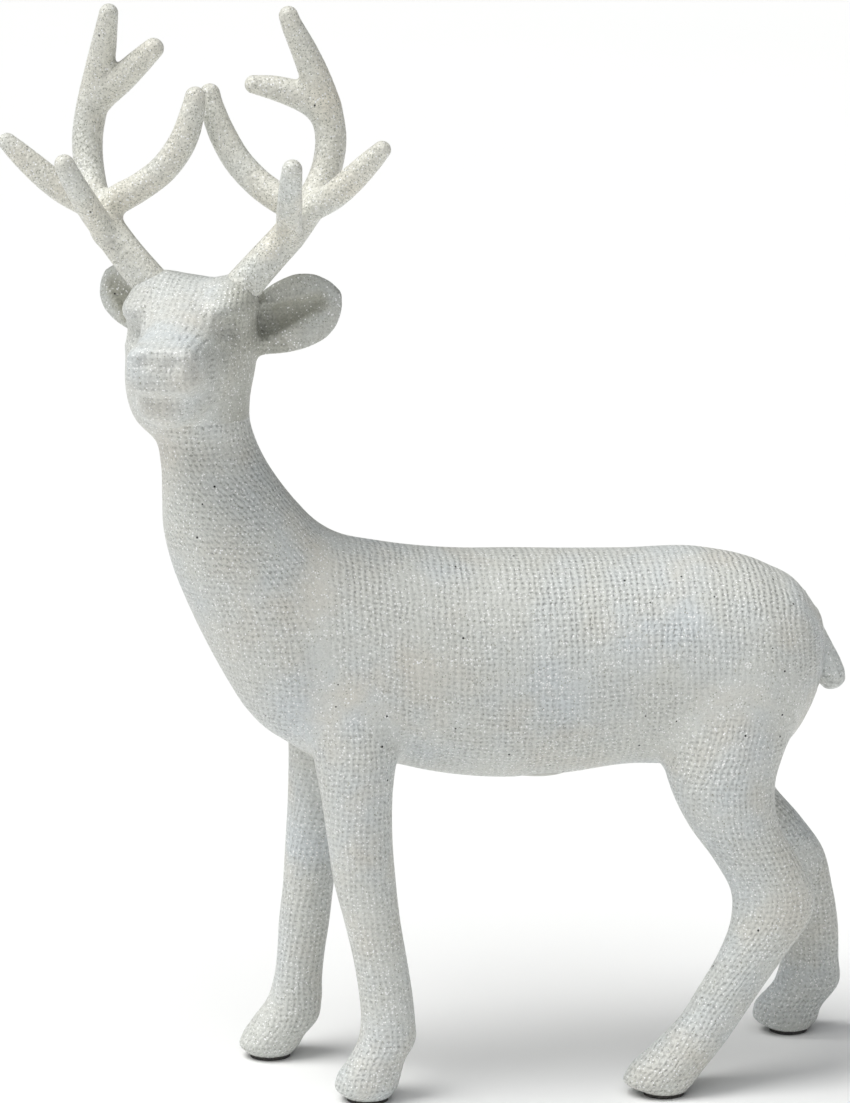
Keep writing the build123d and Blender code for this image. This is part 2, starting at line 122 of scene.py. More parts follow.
HINDLEG_LEFT = [
    (1.5, 28.0, 65.0, 79.5, 6.6), (3.5, 28.0, 60.4, 81.4, 8.2), (8.0, 28.0, 60.8, 84.6, 8.9),
    (15.0, 27.8, 68.0, 90.2, 8.7), (23.0, 27.4, 76.2, 96.0, 7.7), (33.0, 26.8, 82.8, 102.8, 7.5),
    (45.0, 26.0, 89.8, 111.4, 8.0), (55.0, 25.2, 93.4, 118.4, 8.6), (64.0, 24.4, 93.4, 119.8, 9.3),
    (74.0, 23.4, 88.2, 115.0, 10.4), (85.0, 22.4, 80.4, 108.6, 12.2), (98.0, 21.0, 74.2, 107.2, 13.6),
    (112.0, 18.4, 71.6, 111.6, 14.2), (130.0, 14.6, 74.0, 115.0, 14.0), (146.0, 11.0, 80.0, 112.0, 11.0),
]
HINDLEG_RIGHT = [
    (1.5, -26.0, 117.0, 131.0, 6.6), (3.5, -26.0, 113.4, 133.0, 8.2), (8.0, -26.0, 112.4, 134.6, 8.9),
    (16.0, -26.0, 118.6, 140.4, 8.5), (25.0, -25.9, 121.4, 140.2, 7.8), (37.0, -25.6, 122.2, 139.6, 7.6),
    (50.0, -25.0, 120.4, 137.2, 8.1), (64.0, -24.2, 114.0, 133.0, 9.2), (74.0, -23.4, 105.0, 125.8, 10.4),
    (86.0, -22.2, 90.0, 116.0, 12.2), (98.0, -21.0, 81.0, 112.0, 13.4), (112.0, -18.4, 76.0, 113.5, 14.2),
    (130.0, -14.6, 75.0, 115.0, 14.0), (146.0, -11.0, 80.0, 112.0, 11.0),
]
LEGS = {
    "foreleg_left": FORELEG_LEFT,
    "foreleg_right": FORELEG_RIGHT,
    "hindleg_left": HINDLEG_LEFT,
    "hindleg_right": HINDLEG_RIGHT,
}
# fore; middle left, middle up, half width, half height: the head from the poll to the muzzle
SKULL = [
    (-19.5, -0.8, 4.0, 4.0, 5.0), (-17.5, -1.2, 4.0, 10.5, 11.0), (-13.0, -1.8, 3.2, 15.4, 16.0),
    (-6.0, -2.4, 2.0, 18.6, 19.6), (2.0, -2.6, 1.6, 19.0, 20.6), (10.0, -2.2, 1.4, 18.2, 19.0),
    (18.0, -1.2, 0.4, 15.4, 16.4), (26.0, -0.4, -0.6, 12.6, 13.0), (33.0, 0.0, -0.8, 10.8, 10.4),
    (38.5, 0.0, -0.6, 9.0, 8.0), (42.0, 0.0, -0.4, 5.0, 4.5),
]
# middles and half sizes or radii in the head's frame, fore, left, up, and how soft each one's edge is
MUZZLE_AT, MUZZLE_HALF, MUZZLE_ROUND, MUZZLE_EDGE = (35.8, -0.4, 0.0), (9.4, 10.6, 7.2), 4.4, 4.5
JAW_AT, JAW_R, JAW_EDGE = (24.0, -2.2, -11.5), (15.0, 10.5, 8.5), 5.0
BROWS_AT, BROW_R, BROW_EDGE = ((11.5, 11.4, 14.2), (11.5, -15.0, 13.4)), (7.0, 5.6, 4.2), 5.0
EYES_AT, EYE_R, EYE_EDGE = ((18.0, 15.0, 8.4), (18.0, -17.6, 6.0)), (5.6, 4.4, 3.6), 4.0
NOSTRILS_AT, NOSTRIL_R, NOSTRIL_EDGE = ((45.8, 4.4, 2.2), (45.8, -5.0, 2.2)), (1.3, 2.0, 1.3), 2.4

# root and tip of each ear in the head's frame, fore, left, up, and its width against the left one
EARS = {
    "left": ((-5.0, 15.5, 5.0), (-12.0, 41.0, 16.8), 1.0),
    "right": ((-5.0, -15.5, 7.0), (-12.0, -33.0, 21.5), 0.78),
}
# share of the ear's length; half width, half thickness, how far the rims curl forward
EAR_LEAF = [
    (-0.30, 5.0, 4.0, 0.0), (0.0, 7.6, 4.2, 0.2), (0.25, 10.0, 3.9, 0.8), (0.50, 11.0, 3.5, 1.3),
    (0.72, 10.0, 3.0, 1.2), (0.88, 6.8, 2.3, 0.8), (0.97, 3.0, 1.4, 0.3), (1.0, 0.8, 0.6, 0.1),
]
EAR_ROOT_SHARE, EAR_CUT_SHARE = -0.3, 0.27      # where a leaf starts in the head, and its joint with it
RIM_CURL_LIMIT = 1.6
# the groove's ends as share of length, way forward and way across; its radii, and its edge
GROOVE_START, GROOVE_END = (0.10, 3.0, -1.5), (0.74, 3.4, -0.5)
GROOVE_START_R, GROOVE_END_R, GROOVE_EDGE = 4.4, 2.0, 2.0

# left, up, fore, radius along each branch of an antler; what isn't for one side is mirrored
BEAM = [
    (21.6, 28.2, 2.6, 5.3), (28.6, 36.3, 0.0, 5.1), (33.6, 44.2, -3.6, 4.8), (37.0, 53.0, -9.2, 4.6),
    (38.2, 62.2, -12.0, 4.7), (36.9, 71.0, -12.6, 4.8), (34.4, 80.0, -11.2, 4.6), (31.5, 89.2, -7.8, 4.0),
    (28.7, 97.4, -3.4, 3.2), (27.8, 100.6, -2.2, 2.9),
]
FRONT_TINE = [
    (28.7, 35.6, 3.0, 3.9), (31.2, 44.3, 12.0, 3.8), (33.4, 52.2, 19.0, 3.4), (34.8, 57.6, 22.6, 3.0),
]
OUTER_TINE = [
    (35.3, 43.5, 1.0, 3.8), (42.0, 47.6, 2.0, 4.1), (48.4, 53.0, 3.5, 4.0), (54.3, 58.6, 5.0, 3.4),
    (58.0, 62.2, 5.8, 2.7),
]
INNER_TINES = {
    "left": [
        (31.0, 43.0, -2.0, 4.4), (24.4, 45.9, -3.5, 4.5), (17.2, 50.2, -5.5, 4.4), (10.3, 56.9, -6.8, 4.3),
        (5.4, 65.0, -7.5, 4.1), (2.7, 72.2, -7.5, 3.6), (1.9, 76.6, -7.5, 3.1),
    ],
    "right": [
        (30.0, 41.8, -2.0, 4.4), (24.8, 45.2, -1.0, 4.5), (17.6, 49.2, 0.0, 4.3), (10.1, 55.0, 0.8, 4.3),
        (4.3, 63.0, 1.2, 4.2), (1.2, 71.4, 1.5, 3.7), (0.2, 76.4, 1.5, 3.1),
    ],
}
FORKS = {
    "left": [
        (35.5, 72.5, -12.0, 4.4), (29.0, 76.1, -11.0, 4.3), (21.8, 78.5, -9.0, 3.7),
        (15.8, 79.7, -6.8, 2.8),
    ],
    "right": [
        (33.0, 75.2, -12.0, 4.3), (27.6, 79.4, -10.0, 4.3), (21.6, 84.3, -7.0, 4.0),
        (14.4, 90.2, -3.4, 3.2),
    ],
}
TAIL_ROOT, TAIL_TIP = np.array([0.0, 117.0, 153.0]), np.array([0.0, 130.8, 123.8])
# millimetres out from the tail's root; half width, half thickness
TAIL_SHAPE = [
    (0.0, 5.0, 3.8), (12.0, 6.4, 4.2), (20.0, 7.2, 4.6), (26.0, 7.2, 4.8), (30.0, 6.2, 4.3),
    (32.4, 4.0, 2.9), (33.5, 1.0, 0.8),
]

# the box that each skin is looked for in
TRUNK_BOX = (-36, -97, 88), (36, 130, 222)
HEAD_BOX = (-38, -112, 206), (62, -22, 264)
TAIL_BOX = (-10, 110, 120), (10, 145, 162)
LEG_REACH, LEG_MARGIN, EAR_MARGIN = 17, 4, 14
ANTLER_FORES, ANTLER_LEFTS, ANTLER_UPS = (-18, 27), (-3, 62), (15, 106)


# ------------------------------------------------------------------ distance fields
def curve(x, rows):
    """Smooth curves through a table: its first column is where, the others are the values there."""
    table = np.array(rows, float)
    knots = table[:, 0]
    low = np.clip(np.searchsorted(knots, x) - 1, 0, len(knots) - 2)
    run = knots[low + 1] - knots[low]
    t = np.clip((x - knots[low]) / run, 0, 1)
    near, far = (1 + 2 * t) * (1 - t) ** 2, t * t * (3 - 2 * t)
    leave, arrive = run * t * (1 - t) ** 2, run * t * t * (t - 1)
    values = []
    for column in table[:, 1:].T:
        slope = np.gradient(column, knots)
        through = near * column[low] + far * column[low + 1]
        values.append(through + leave * slope[low] + arrive * slope[low + 1])
    return values


def oval_gap(a, b, half_a, half_b):
    """Distance to an oval outline, measured along the ray from its middle."""
    reach = np.hypot(a / half_a, b / half_b) + 1e-9
    return np.hypot(a, b) * (1 - 1 / reach)


def level_tube(p, rows):
    """A limb drawn by level sections; it runs on below its first row and stops at its last."""
    z = p[:, 2]
    middle, front, rear, half_width = curve(z, rows)
    side = oval_gap(p[:, 0] - middle, p[:, 1] - (front + rear) / 2, half_width, (rear - front) / 2)
    return np.maximum(side, z - rows[-1][0])


def blend(a, b, width):
    """Union with a fillet."""
    near = np.maximum(width - np.abs(a - b), 0) / width
    return np.minimum(a, b) - near * near * width / 4


def carve(a, b, width):
    """a with b taken out of it, with a rounded edge."""
    return -blend(-a, b, width)


def ball(p, middle, radii):
    """An ellipsoid with its axes along fore, left and up."""
    scaled = (p - np.array(middle)) / np.array(radii)
    reach = np.linalg.norm(scaled, axis=1) + 1e-9
    return np.linalg.norm(p - np.array(middle), axis=1) * (1 - 1 / reach)


def soft_box(p, middle, half, rounding):
    past = np.abs(p - np.array(middle)) - (np.array(half) - rounding)
    outside = np.linalg.norm(np.maximum(past, 0), axis=1)
    return outside + np.minimum(past.max(axis=1), 0) - rounding


def capsule(p, start, end, start_r, end_r):
    run = end - start
    t = np.clip((p - start) @ run / (run @ run), 0, 1)
    return np.linalg.norm(p - start - t[:, None] * run, axis=1) - (start_r + t * (end_r - start_r))


def horn(p, points, radii, spans=4):
    """A round branch through points, with a round tip."""
    rows = [(i, *point, radius) for i, (point, radius) in enumerate(zip(points, radii))]
    x, y, z, r = curve(np.linspace(0, len(points) - 1, spans * (len(points) - 1) + 1), rows)
    knots = np.stack([x, y, z], axis=1)
    gaps = [capsule(p, knots[i], knots[i + 1], r[i], r[i + 1]) for i in range(len(knots) - 1)]
    return np.minimum.reduce(gaps)


def to_head(p):
    """Points in the head's frame: fore, left, up."""
    return (p - HEAD_AT) @ np.stack([FORE, LEFT, UP], axis=1)


def from_head(fore, left, up):
    return HEAD_AT + fore * FORE + left * LEFT + up * UP


def seat(side):
    """Middle of an antler's seat and the way its pin pulls out; side is 1 for left, -1 for right."""
    out = side * sin(SEAT_LEAN) * LEFT + cos(SEAT_LEAN) * UP
    return from_head(SEAT_FORE, side * SEAT_OUT, SEAT_UP), out


def barrel(p):
    y = p[:, 1]
    top, bottom, half_width = curve(y, BARREL)
    side = oval_gap(p[:, 0], p[:, 2] - (top + bottom) / 2, half_width, (top - bottom) / 2)
    return np.maximum(side, np.maximum(BARREL[0][0] - y, y - BARREL[-1][0]))


def neck(p):
    return np.maximum(level_tube(p, NECK), NECK[0][0] - p[:, 2])


def trunk(p):
    gap = blend(barrel(p), neck(p), TRUNK_FILLET)
    for rows in LEGS.values():
        gap = blend(gap, level_tube(p, rows), LEG_FILLET)
    return gap


def leg(p, name):
    """A leg, filleted into the trunk above it."""
    return blend(level_tube(p, LEGS[name]), blend(barrel(p), neck(p), TRUNK_FILLET), LEG_FILLET)


def ear_axes(name):
    """An ear's root, length, way out, way it faces and way across."""
    root, tip = (from_head(*point) for point in EARS[name][:2])
    run = (tip - root) / np.linalg.norm(tip - root)
    face = FORE - run * (FORE @ run)
    face /= np.linalg.norm(face)
    return root, np.linalg.norm(tip - root), run, face, np.cross(run, face)


def ear_groove(p, name):
    """The cutter for the groove along the front of an ear."""
    root, length, run, face, wide = ear_axes(name)
    start, end = (
        root + share * length * run + forward * face + across * wide
        for share, forward, across in (GROOVE_START, GROOVE_END)
    )
    return capsule(p, start, end, GROOVE_START_R, GROOVE_END_R)


def ear(p, name):
    """A broad leaf with a deep groove along its front."""
    root, length, run, face, wide = ear_axes(name)
    out, across, depth = ((p - root) @ axis for axis in (run, wide, face))
    half_width, half_thick, curl = curve(out / length, EAR_LEAF)
    half_width = half_width * EARS[name][2]
    lift = curl * np.minimum((across / half_width) ** 2, RIM_CURL_LIMIT)
    gap = oval_gap(across, depth - lift, half_width, half_thick)
    gap = np.maximum(gap, np.maximum(out - length, EAR_ROOT_SHARE * length - out))
    return carve(gap, ear_groove(p, name), GROOVE_EDGE)


def face_features(h, gap):
    """Muzzle, jaw, brows, eye hollows and nostrils on the skull; h is in the head's frame."""
    gap = blend(gap, soft_box(h, MUZZLE_AT, MUZZLE_HALF, MUZZLE_ROUND), MUZZLE_EDGE)
    gap = blend(gap, ball(h, JAW_AT, JAW_R), JAW_EDGE)
    for at in BROWS_AT:
        gap = blend(gap, ball(h, at, BROW_R), BROW_EDGE)
    for at in EYES_AT:
        gap = carve(gap, ball(h, at, EYE_R), EYE_EDGE)
    for at in NOSTRILS_AT:
        gap = carve(gap, ball(h, at, NOSTRIL_R), NOSTRIL_EDGE)
    return gap


def head(p):
    h = to_head(p)
    fore = h[:, 0]
    mid_left, mid_up, half_width, half_height = curve(fore, SKULL)
    gap = oval_gap(h[:, 1] - mid_left, h[:, 2] - mid_up, half_width, half_height)
    gap = np.maximum(gap, np.maximum(SKULL[0][0] - fore, fore - SKULL[-1][0]))
    gap = face_features(h, gap)
    gap = blend(gap, neck(p), NECK_FILLET)
    for side in (1, -1):
        at, out = seat(side)
        boss = capsule(p, at - BOSS_DEPTH * out, at - SEAT_GAP * out, BOSS_R, BOSS_TOP_R)
        gap = blend(gap, boss, BOSS_FILLET)
    for name in EARS:
        gap = blend(gap, ear(p, name), EAR_FILLET)
    return gap


def tail(p):
    run = (TAIL_TIP - TAIL_ROOT) / np.linalg.norm(TAIL_TIP - TAIL_ROOT)
    out = (p - TAIL_ROOT) @ run
    half_width, half_thick = curve(out, TAIL_SHAPE)
    depth = (p - TAIL_ROOT) @ np.cross(run, (1.0, 0.0, 0.0))
    gap = oval_gap(p[:, 0], depth, half_width, half_thick)
    return np.maximum(gap, np.maximum(-out, out - TAIL_SHAPE[-1][0]))


def antler(p, name):
    side = 1 if name == "left" else -1
    at, out = seat(side)
    foot = at + SEAT_GAP * out
    beam = [foot, foot + FOOT_RUN * out] + [from_head(fore, side * left, up) for left, up, fore, _ in BEAM]
    gap = horn(p, beam, [FOOT_R, FOOT_TOP_R] + [row[3] for row in BEAM])
    for branch in (FRONT_TINE, OUTER_TINE, INNER_TINES[name], FORKS[name]):
        points = [from_head(fore, side * left, up) for left, up, fore, _ in branch]
        gap = blend(gap, horn(p, points, [row[3] for row in branch]), BRANCH_FILLET)
    return gap


# ------------------------------------------------------------------ skins from fields
def crossings(value):
    """For each grid cell the surface passes through, the mean of its edge crossings, in cells."""
    cells = np.array(value.shape) - 1
    total, count = np.zeros((*cells, 3)), np.zeros(cells)
    for axis in range(3):
        side_a, side_b = [k for k in range(3) if k != axis]
        for a in (0, 1):
            for b in (0, 1):
                start = np.zeros(3, int)
                start[side_a], start[side_b] = a, b
                end = start.copy()
                end[axis] = 1
                near = value[tuple(slice(s, s + n) for s, n in zip(start, cells))]
                far = value[tuple(slice(s, s + n) for s, n in zip(end, cells))]
                crossed = (near < 0) != (far < 0)
                share = np.where(crossed, near / np.where(crossed, near - far, 1), 0)
                total[..., axis] += share
                total[..., side_a] += a * crossed
                total[..., side_b] += b * crossed
                count += crossed
    return total, count


def surface_net(value, low, step):
    """Points and quads of the zero level of a grid of values."""
    total, count = crossings(value)
    found = count > 0
    number = np.full(found.shape, -1)
    number[found] = np.arange(found.sum())
    points = low + step * (np.argwhere(found) + total[found] / count[found][:, None])
    inside = value < 0
    quads = []
    for axis in range(3):
        first, second = (axis + 1) % 3, (axis + 2) % 3
        trim = [slice(1, -1)] * 3
        trim[axis] = slice(0, -1)
        shifted = [slice(1, -1)] * 3
        shifted[axis] = slice(1, None)
        near, far = inside[tuple(trim)], inside[tuple(shifted)]
        cell = np.argwhere(near != far)
        leaving = near[tuple(cell.T)]
        cell[:, first] += 1
        cell[:, second] += 1
        step_a, step_b = np.eye(3, dtype=int)[first], np.eye(3, dtype=int)[second]
        ring = [cell - step_a - step_b, cell - step_b, cell, cell - step_a]
        quad = np.stack([number[tuple(corner.T)] for corner in ring], axis=1)
        quads.append(np.where(leaving[:, None], quad, quad[:, ::-1]))
    return points, np.concatenate(quads)


def settle(points, field, reach, rounds=3):
    """Move points onto the field's zero level, none of them further than reach in a round."""
    nudge, least_slope = 0.08, 0.05
    for _ in range(rounds):
        value = field(points)
        slope = np.stack([
            (field(points + nudge * axis) - field(points - nudge * axis)) / (2 * nudge)
            for axis in np.eye(3)
        ], axis=1)
        move = -value / np.maximum((slope ** 2).sum(axis=1), least_slope)
        shift = move[:, None] * slope
        length = np.linalg.norm(shift, axis=1, keepdims=True)
        points = points + shift * np.minimum(1, reach / np.maximum(length, 1e-9))
    return points


def skin(name, field, low, high, step):
    """A mesh object of the field's surface inside a box."""
    low = np.array(low, float)
    axes = [np.arange(a, b + step, step) for a, b in zip(low, high)]
    grid = np.stack(np.meshgrid(*axes, indexing="ij"), axis=-1)
    value = field(grid.reshape(-1, 3)).reshape(grid.shape[:3])
    points, quads = surface_net(value, low, step)
    points = settle(points, field, 0.5 * step)
    mesh = bpy.data.meshes.new(name)
    mesh.from_pydata(((points + PLACE) * MM).tolist(), [], quads.tolist())
    mesh.polygons.foreach_set("use_smooth", np.ones(len(mesh.polygons), bool))
    piece = bpy.data.objects.new(name, mesh)
    bpy.context.collection.objects.link(piece)
    return piece


def place(point):
    """A working point in metres in the shared frame."""
    return Vector((np.array(point) + PLACE) * MM)


def trim_flat(piece, point, away):
    """Cut off everything past a plane and close the cut with a flat, sharp-edged face."""
    bm = bmesh.new()
    bm.from_mesh(piece.data)
    geometry = list(bm.verts) + list(bm.edges) + list(bm.faces)
    cut = {"plane_co": place(point), "plane_no": Vector(away)}
    bmesh.ops.bisect_plane(bm, geom=geometry, clear_outer=True, **cut)
    rim = [edge for edge in bm.edges if edge.is_boundary]
    caps = bmesh.ops.holes_fill(bm, edges=rim, sides=0)["faces"]
    for face in caps:
        face.smooth = False
        for edge in face.edges:
            edge.smooth = False
    bmesh.ops.recalc_face_normals(bm, faces=bm.faces)
    bm.to_mesh(piece.data)
    bm.free()


def turned(name, profile, base, axis, sides=64):
    """A closed turned form: profile is (radius, height) from its bottom to its top."""
    axis = Vector(axis).normalized()
    turn = axis.to_track_quat("Z", "Y").to_matrix().to_4x4()
    bm = bmesh.new()
    rings = []
    for radius, height in profile:
        ring = [bm.verts.new((radius * cos(2 * pi * i / sides), radius * sin(2 * pi * i / sides), height))
                for i in range(sides)]
        rings.append(ring)
    for lower, upper in zip(rings, rings[1:]):
        for i in range(sides):
            j = (i + 1) % sides
            bm.faces.new((lower[i], lower[j], upper[j], upper[i]))
    bm.faces.new(rings[0][::-1])
    bm.faces.new(rings[-1])
    bmesh.ops.scale(bm, vec=(MM, MM, MM), verts=bm.verts)
    bmesh.ops.transform(bm, matrix=Matrix.Translation(place(base)) @ turn, verts=bm.verts)
    mesh = bpy.data.meshes.new(name)
    bm.to_mesh(mesh)
    bm.free()
    piece = bpy.data.objects.new(name, mesh)
    bpy.context.collection.objects.link(piece)
    return piece


def drill(piece, cutter):
    """Take the cutter's shape out of a piece, and delete the cutter."""
    cut = piece.modifiers.new("cut", "BOOLEAN")
    cut.operation, cut.object, cut.solver = "DIFFERENCE", cutter, "EXACT"
    bpy.context.view_layer.update()
    result = bpy.data.meshes.new_from_object(piece.evaluated_get(bpy.context.evaluated_depsgraph_get()))
    piece.modifiers.remove(cut)
    piece.data = result
    bpy.data.objects.remove(cutter)


# ------------------------------------------------------------------ knit map
def along_leg(rows):
    """A chart for a limb drawn by level sections: stitches round it, then stitches up it."""
    def chart(p):
        middle, front, rear, half_width = curve(p[:, 2], rows)
        angle = np.arctan2(p[:, 0] - middle, p[:, 1] - (front + rear) / 2)
        return angle * (half_width + (rear - front) / 2) / 2 / WALE, p[:, 2] / COURSE
    return chart


def along_barrel(p):
    """Along the barrel, then round it."""
    top, bottom, half_width = curve(p[:, 1], BARREL)
    angle = np.arctan2(p[:, 0], p[:, 2] - (top + bottom) / 2)
    return p[:, 1] / WALE, angle * BARREL_TURN / COURSE


def along_head(p):
    """Round and up the head, as seen from inside it, in true lengths near the face."""
    h = to_head(p)
    level = np.hypot(h[:, 0], h[:, 1])
    turn, rise = np.arctan2(h[:, 1], h[:, 0]), np.arctan2(h[:, 2], level)
    return turn * level / WALE, rise * np.hypot(level, h[:, 2]) / COURSE


def knit_map(piece, charts, gaps, depth=1.0, grain=None):
    """A UV map in stitches, from the chart of the limb nearest to each face.

    depth scales the knit's relief, and grain gives at each point how far painted shade darkens the colour
    and how much grey glitter lies there.
    """
    mesh = piece.data
    corners = np.zeros(len(mesh.loops), int)
    mesh.loops.foreach_get("vertex_index", corners)
    points = np.zeros(3 * len(mesh.vertices))
    mesh.vertices.foreach_get("co", points)
    points = points.reshape(-1, 3) / MM - PLACE
    middles = np.zeros(3 * len(mesh.polygons))
    mesh.polygons.foreach_get("center", middles)
    middles = middles.reshape(-1, 3) / MM - PLACE
    sizes = np.zeros(len(mesh.polygons), int)
    mesh.polygons.foreach_get("loop_total", sizes)
    face_of = np.repeat(np.arange(len(sizes)), sizes)
    nearest = np.argmin(np.stack([gap(middles) for gap in gaps]), axis=0)
    uv = np.zeros((len(corners), 2))
    for i, chart in enumerate(charts):
        at = np.stack(chart(points), axis=1)
        at_face = np.stack(chart(middles), axis=1)
        mine = nearest[face_of] == i
        uv[mine] = at[corners[mine]]
        wrapped = np.abs(at[corners] - at_face[face_of]).max(axis=1) > CHART_JUMP
        uv[mine & wrapped] = at_face[face_of[mine & wrapped]]
    mesh.uv_layers.new(name="knit").data.foreach_set("uv", uv.ravel())
    strength = np.full(len(points), depth)
    if len(gaps) > 1:
        ranked = np.sort(np.stack([gap(points) for gap in gaps]), axis=0)
        strength = strength * np.clip((ranked[1] - ranked[0]) / KNIT_FADE, FLAT_KNIT, 1)
    mesh.attributes.new("knit_strength", "FLOAT", "POINT").data.foreach_set("value", strength)
    if grain:
        mesh.attributes.new("painted_shade_and_coarse_glitter", "FLOAT", "POINT").data.foreach_set("value", grain(points))


def cheek_shade_and_grain(p):
    """Painted shade on the head's left cheek and side, which face away from the key light, fading out at
    the muzzle; more grey glitter there too.
    """
    most, cheek_left, cheek_run, muzzle_fore, muzzle_run = 0.75, 6.0, 9.0, 44.0, 12.0
    h = to_head(p)
    return (
        np.clip((h[:, 1] - cheek_left) / cheek_run, 0, 1)
        * np.clip((muzzle_fore - h[:, 0]) / muzzle_run, 0, 1) * most
    )


def ear_shade_and_grain(p):
    """Painted shade in the ears' grooves, darkest along them, over a lighter darkening of the whole leaf;
    more grey glitter there too.
    """
    leaf, reach = 0.35, 2.5
    near = np.minimum(*(ear_groove(p, name) for name in EARS))
    return leaf + (1 - leaf) * np.clip(1 - near / reach, 0, 1)


# ------------------------------------------------------------------ materials
MID_GREY = (0.5, 0.5, 0.5)
KNIT_DEPTH, PEBBLE_DEPTH = 0.00036, 0.00026     # relief in metres
KNIT_FLAKE, ANTLER_FLAKE = 0.00045, 0.00050     # size of a glitter flake in metres
STITCH_WANDER = 1.15                            # how far stitches stray, in stitches
GREY_GRAIN, WHITE_GRAIN_AND_GLINT, BLACK_GRAIN, RED_GRAIN = 0.00022, 0.00026, 0.00036, 0.00045


def node(tree, kind, inputs=None, **settings):
    """Add a shader node; inputs are values, or sockets to link from."""
    made = tree.nodes.new("ShaderNode" + kind)
    for key, value in settings.items():
        setattr(made, key, value)
    for key, value in (inputs or {}).items():
        socket = made.inputs[key]
        if isinstance(value, bpy.types.NodeSocket):
            tree.links.new(value, socket)
        else:
            socket.default_value = value
    return made


def calc(tree, operation, a, b=0.0, c=0.0):
    return node(tree, "Math", {0: a, 1: b, 2: c}, operation=operation).outputs[0]


def ramp(tree, value, low, high, out_low=0.0, out_high=1.0):
    inputs = {"Value": value, "From Min": low, "From Max": high, "To Min": out_low, "To Max": out_high}
    return node(tree, "MapRange", inputs, clamp=True).outputs[0]


def mix(tree, share, a, b, kind="MIX"):
    made = node(tree, "Mix", {0: share, 6: a, 7: b}, data_type="RGBA", blend_type=kind)
    return made.outputs[2]


def noise(tree, where, scale, detail=2.0):
    return node(tree, "TexNoise", {"Vector": where, "Scale": scale, "Detail": detail})


def vector(tree, operation, a, b):
    inputs = {0: a, "Scale": b} if operation == "SCALE" else {0: a, 1: b}
    return node(tree, "VectorMath", inputs, operation=operation).outputs[0]


def relief(tree, height, depth, invert=False):
    """A normal from a height between 0 and 1; depth is in metres."""
    inputs = {"Height": height, "Distance": depth, "Strength": 1.0}
    return node(tree, "Bump", inputs, invert=invert).outputs[0]


def finish_material(material, colour, normal):
    shader = material.node_tree.nodes["Principled BSDF"]
    material.node_tree.links.new(colour, shader.inputs["Base Color"])
    material.node_tree.links.new(normal, shader.inputs["Normal"])
    return material


def start_material(name, roughness, **constants):
    """A material, its nodes and its place socket; constants are set on the shader's own sockets."""
    material = bpy.data.materials.new(name)
    material.use_nodes = True
    shader = material.node_tree.nodes["Principled BSDF"]
    shader.inputs["Roughness"].default_value = roughness
    for key, value in constants.items():
        shader.inputs[key.replace("_", " ")].default_value = value
    tree = material.node_tree
    return material, tree, node(tree, "TexCoord").outputs["Object"]


def specks(tree, where, scale, size, share):
    """Round grains of a radius in metres, in a given share of the cells of a random lattice."""
    cells = node(tree, "TexVoronoi", {"Vector": where, "Scale": scale, "Randomness": 1.0})
    lot = node(tree, "SeparateColor", {0: cells.outputs["Color"]}).outputs[0]
    chosen = calc(tree, "LESS_THAN", lot, share)
    close = calc(tree, "LESS_THAN", cells.outputs["Distance"], size * scale)
    return calc(tree, "MULTIPLY", chosen, close)


def glitter(tree, where, normal, grain, tilt):
    """Flakes of one size: the tilted normal, and a random value for each flake."""
    cells = node(tree, "TexVoronoi", {"Vector": where, "Scale": 1 / grain, "Randomness": 1.0})
    lean = vector(tree, "SCALE", vector(tree, "SUBTRACT", cells.outputs["Color"], MID_GREY), tilt)
    tilted = node(tree, "VectorMath", {0: vector(tree, "ADD", normal, lean)}, operation="NORMALIZE")
    return tilted.outputs[0], node(tree, "SeparateColor", {0: cells.outputs["Color"]}).outputs[1]


def knit_height(tree, where):
    """Height of the knit from 0 to 1, and how deep in a stitch hole a point is."""
    stitches = node(tree, "UVMap", uv_map="knit").outputs[0]
    wander = vector(tree, "SUBTRACT", noise(tree, where, 230.0, 2.0).outputs["Color"], MID_GREY)
    wander = vector(tree, "SCALE", wander, STITCH_WANDER)
    split = node(tree, "SeparateXYZ", {0: vector(tree, "ADD", stitches, wander)})
    column = calc(tree, "COSINE", calc(tree, "MULTIPLY", split.outputs[0], 2 * pi))
    row = calc(tree, "COSINE", calc(tree, "MULTIPLY", split.outputs[1], 2 * pi))
    column = ramp(tree, column, -1, 1)
    row = ramp(tree, row, -1, 1)
    hole = calc(tree, "POWER", calc(tree, "MULTIPLY", column, row), 1.8)
    height = calc(tree, "MULTIPLY_ADD", hole, -0.75, 1.0)
    height = calc(tree, "MULTIPLY_ADD", column, -0.42, height)
    filled = ramp(tree, noise(tree, where, 60.0, 3.0).outputs[0], 0.34, 0.52, 0.45, 1.0)
    strength = node(tree, "Attribute", attribute_name="knit_strength").outputs["Fac"]
    filled = calc(tree, "MULTIPLY", filled, strength)
    return calc(tree, "MULTIPLY", height, filled), calc(tree, "MULTIPLY", hole, filled)


def mottled(tree, where, base, cool, warm):
    """A base colour that drifts to a cool and a warm tint in soft patches."""
    first = ramp(tree, noise(tree, where, 26.0, 3.0).outputs[0], 0.46, 0.66)
    second = ramp(tree, noise(tree, where, 41.0, 3.0).outputs[0], 0.50, 0.72)
    return mix(tree, second, mix(tree, first, base, cool), warm)


